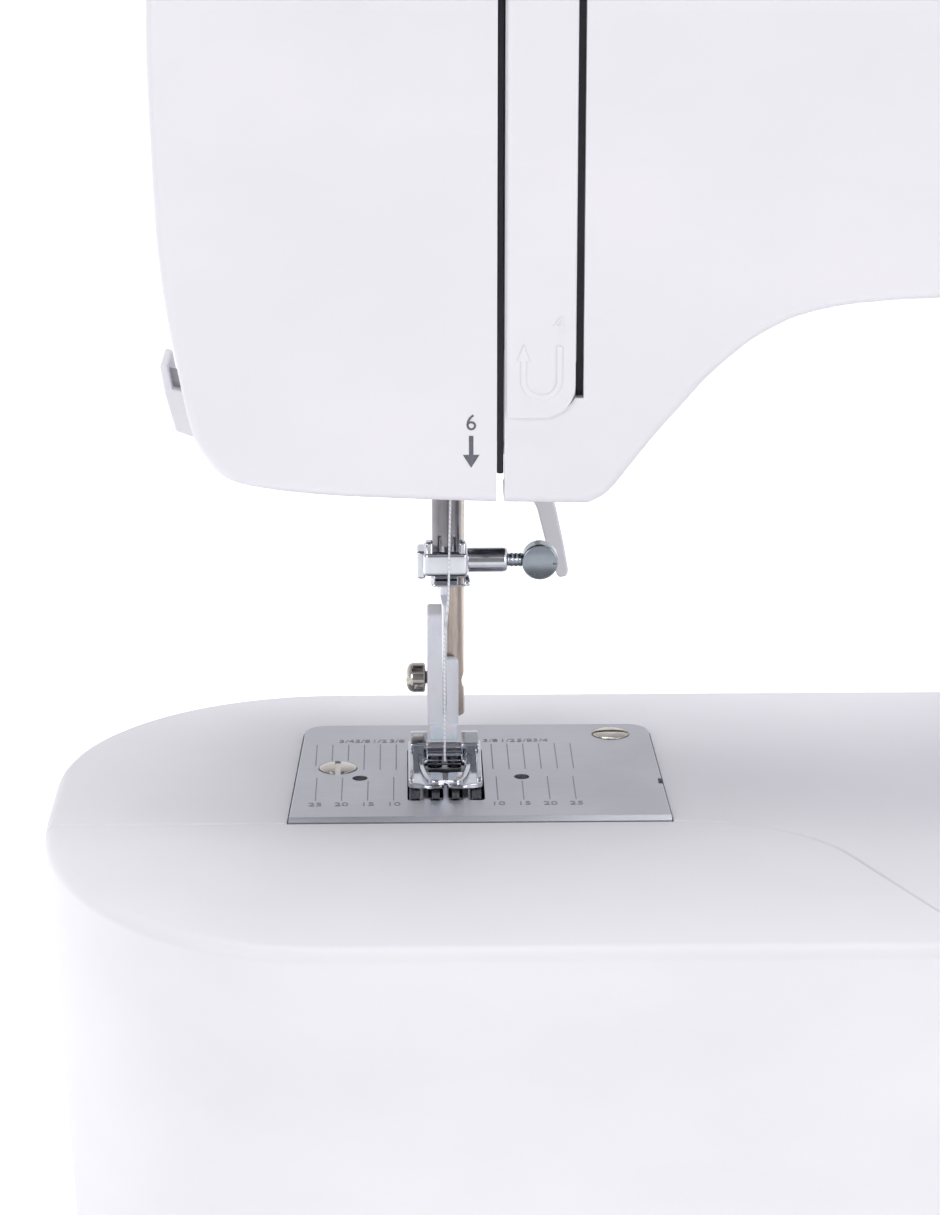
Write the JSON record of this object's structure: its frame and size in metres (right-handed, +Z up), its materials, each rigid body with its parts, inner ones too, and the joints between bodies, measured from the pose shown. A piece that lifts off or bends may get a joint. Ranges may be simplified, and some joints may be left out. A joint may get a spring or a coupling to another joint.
{
  "type": "sewing machine",
  "caption": "Free-arm domestic sewing machine with a clip-on presser foot, needle plate, slide-off extension table and handwheel.",
  "frame": {"origin": "middle of the machine's bounding box at the plane that its feet stand on", "axes": "+X towards the handwheel, +Y towards the back, +Z up"},
  "size_m": [0.382, 0.143, 0.3105],
  "materials": {
    "white_abs": "satin moulded ABS",
    "bed_abs": "satin moulded ABS",
    "grey_plastic": "satin",
    "black_plastic": "satin",
    "clear_plastic": "milky translucent nylon",
    "plate_steel": "satin",
    "steel": "ground",
    "chrome": "polished",
    "nickel": "bright nickel plate",
    "cast": "as cast",
    "feed_steel": "blackened steel",
    "rubber": "matt",
    "thread": "twisted polyester"
  },
  "bodies": {
    "machine": {"base_plate": "grey_plastic", "foot_1": "rubber", "foot_2": "rubber", "foot_3": "rubber", "foot_4": "rubber", "bed_cover": "bed_abs", "front_cover": "white_abs", "rear_cover": "white_abs", "thread_channel_cover": "white_abs", "needle_plate": "plate_steel", "plate_screw_1": "nickel", "plate_screw_2": "nickel", "arm_frame": "cast", "motor": "black_plastic", "power_inlet": "black_plastic", "timing_belt": "rubber", "drive_belt": "rubber", "hook_race": "steel", "bobbin_case": "chrome", "presser_spring": "steel", "spool_pin": "grey_plastic", "upper_thread": "thread"},
    "main_shaft": {"main_shaft": "steel", "crank": "cast", "belt_pulley": "cast", "handwheel": "white_abs"},
    "clutch": {"clutch_knob": "grey_plastic"},
    "motor_pulley": {"motor_pulley": "cast"},
    "lower_shaft": {"lower_shaft": "steel"},
    "hook": {"hook": "chrome"},
    "bobbin": {"bobbin": "clear_plastic"},
    "feed": {"feed_dog": "feed_steel", "feed_bar": "cast"},
    "needle_gate": {"needle_gate": "cast"},
    "needle_bar": {"needle_bar": "chrome", "needle_bar_link": "steel", "needle_clamp": "chrome", "needle": "chrome", "needle_thread": "thread"},
    "needle_clamp_screw": {"needle_clamp_screw": "nickel"},
    "take_up": {"take_up_lever": "chrome"},
    "presser_bar": {"presser_bar": "nickel", "presser_collar": "cast", "ankle": "clear_plastic"},
    "presser_screw": {"presser_screw": "nickel"},
    "presser_foot": {"presser_foot": "chrome"},
    "presser_lifter": {"presser_lifter": "white_abs"},
    "face_cover": {"face_cover": "white_abs", "thread_cutter": "white_abs"},
    "bobbin_door": {"bobbin_door": "bed_abs"},
    "extension_table": {"extension_table": "bed_abs"},
    "pattern_dial": {"pattern_dial": "grey_plastic"},
    "stitch_length_dial": {"stitch_length_dial": "grey_plastic"},
    "tension_dial": {"tension_dial": "grey_plastic"},
    "reverse_lever": {"reverse_lever": "grey_plastic"},
    "power_switch": {"power_switch": "black_plastic"},
    "carry_handle": {"carry_handle": "white_abs"},
    "spool": {"thread_spool": "thread"},
    "winder_base": {"winder_base": "grey_plastic"},
    "winder_spindle": {"winder_spindle": "grey_plastic"}
  },
  "joints": [
    {"name": "handwheel_turn", "type": "hinge", "parent": "machine", "child": "main_shaft", "pos_m": [0.175, 0.0185, 0.238], "axis": [1, 0, 0], "continuous": true},
    {"name": "clutch_release", "type": "slide", "parent": "main_shaft", "child": "clutch", "axis": [1, 0, 0], "range_m": [0, 0.0012]},
    {"name": "motor_turn", "type": "hinge", "parent": "machine", "child": "motor_pulley", "pos_m": [0.151, 0.0235, 0.043], "axis": [1, 0, 0], "continuous": true},
    {"name": "lower_shaft_turn", "type": "hinge", "parent": "machine", "child": "lower_shaft", "pos_m": [-0.015, 0.0365, 0.056], "axis": [1, 0, 0], "continuous": true},
    {"name": "hook_swing", "type": "hinge", "parent": "machine", "child": "hook", "pos_m": [-0.115, 0.0225, 0.056], "axis": [0, 1, 0], "range_deg": [-100, 100]},
    {"name": "bobbin_spin", "type": "hinge", "parent": "machine", "child": "bobbin", "pos_m": [-0.115, 0.0095, 0.056], "axis": [0, 1, 0], "continuous": true},
    {"name": "feed_travel", "type": "slide", "parent": "machine", "child": "feed", "axis": [0, 1, 0], "range_m": [-0.002, 0.002]},
    {"name": "needle_zigzag", "type": "hinge", "parent": "machine", "child": "needle_gate", "pos_m": [-0.1245, 0.0185, 0.274], "axis": [0, 1, 0], "range_deg": [-0.7, 0.7]},
    {"name": "needle_stroke", "type": "slide", "parent": "needle_gate", "child": "needle_bar", "axis": [0, 0, -1], "range_m": [0, 0.026]},
    {"name": "needle_screw_turn", "type": "hinge", "parent": "needle_bar", "child": "needle_clamp_screw", "pos_m": [-0.103, 0.0185, 0.1319], "axis": [1, 0, 0], "range_deg": [0, 720]},
    {"name": "take_up_swing", "type": "hinge", "parent": "machine", "child": "take_up", "pos_m": [-0.095, 0.0425, 0.223], "axis": [1, 0, 0], "range_deg": [0, 54.5]},
    {"name": "lifter_swing", "type": "hinge", "parent": "machine", "child": "presser_lifter", "pos_m": [-0.106, 0.0485, 0.162], "axis": [0, -1, 0], "range_deg": [0, 60]},
    {"name": "presser_lift", "type": "slide", "parent": "machine", "child": "presser_bar", "axis": [0, 0, 1], "range_m": [0, 0.006], "deforming": ["presser_spring"]},
    {"name": "presser_screw_turn", "type": "hinge", "parent": "presser_bar", "child": "presser_screw", "pos_m": [-0.12, 0.0285, 0.105], "axis": [1, 0, 0], "range_deg": [0, 720]},
    {"name": "foot_tilt", "type": "hinge", "parent": "presser_bar", "child": "presser_foot", "pos_m": [-0.115, 0.023, 0.0924], "axis": [-1, 0, 0], "range_deg": [0, 12]},
    {"name": "face_cover_swing", "type": "hinge", "parent": "machine", "child": "face_cover", "pos_m": [-0.1672, 0.06265, 0.208], "axis": [0, 0, -1], "range_deg": [0, 85]},
    {"name": "bobbin_door_swing", "type": "hinge", "parent": "machine", "child": "bobbin_door", "pos_m": [-0.115, -0.0075, 0.036], "axis": [1, 0, 0], "range_deg": [0, 80]},
    {"name": "table_slide", "type": "slide", "parent": "machine", "child": "extension_table", "axis": [-1, 0, 0], "range_m": [0, 0.2]},
    {"name": "pattern_turn", "type": "hinge", "parent": "machine", "child": "pattern_dial", "pos_m": [0.103, -0.0215, 0.208], "axis": [0, 1, 0], "continuous": true},
    {"name": "length_turn", "type": "hinge", "parent": "machine", "child": "stitch_length_dial", "pos_m": [0.103, -0.0215, 0.156], "axis": [0, 1, 0], "range_deg": [-135, 135]},
    {"name": "tension_turn", "type": "hinge", "parent": "machine", "child": "tension_dial", "pos_m": [-0.129, -0.0115, 0.26], "axis": [1, 0, 0], "range_deg": [-150, 150]},
    {"name": "reverse_press", "type": "hinge", "parent": "machine", "child": "reverse_lever", "pos_m": [0.103, 0.0065, 0.118], "axis": [1, 0, 0], "range_deg": [0, 12], "stiffness_Nm_per_rad": 0.5, "springref_deg": -14.32},
    {"name": "switch_rock", "type": "hinge", "parent": "machine", "child": "power_switch", "pos_m": [0.161, 0.0495, 0.066], "axis": [0, 1, 0], "range_deg": [-8, 8]},
    {"name": "handle_fold", "type": "hinge", "parent": "machine", "child": "carry_handle", "pos_m": [0.01, 0.0525, 0.2975], "axis": [-1, 0, 0], "range_deg": [0, 90]},
    {"name": "spool_spin", "type": "hinge", "parent": "machine", "child": "spool", "pos_m": [0.117, 0.0445, 0.285], "axis": [1, 0, 0], "continuous": true},
    {"name": "winder_slide", "type": "slide", "parent": "machine", "child": "winder_base", "axis": [1, 0, 0], "range_m": [0, 0.004]},
    {"name": "winder_spin", "type": "hinge", "parent": "winder_base", "child": "winder_spindle", "pos_m": [0.13, 0.0005, 0.298], "axis": [0, 0, 1], "continuous": true}
  ],
  "couplings": [
    {"joint": "motor_turn", "follows": "handwheel_turn", "ratio": 4},
    {"joint": "lower_shaft_turn", "follows": "handwheel_turn", "ratio": 1},
    {"joint": "take_up_swing", "follows": "needle_stroke", "rad_per_m": 36},
    {"joint": "lifter_swing", "follows": "presser_lift", "rad_per_m": 174.5}
  ]
}
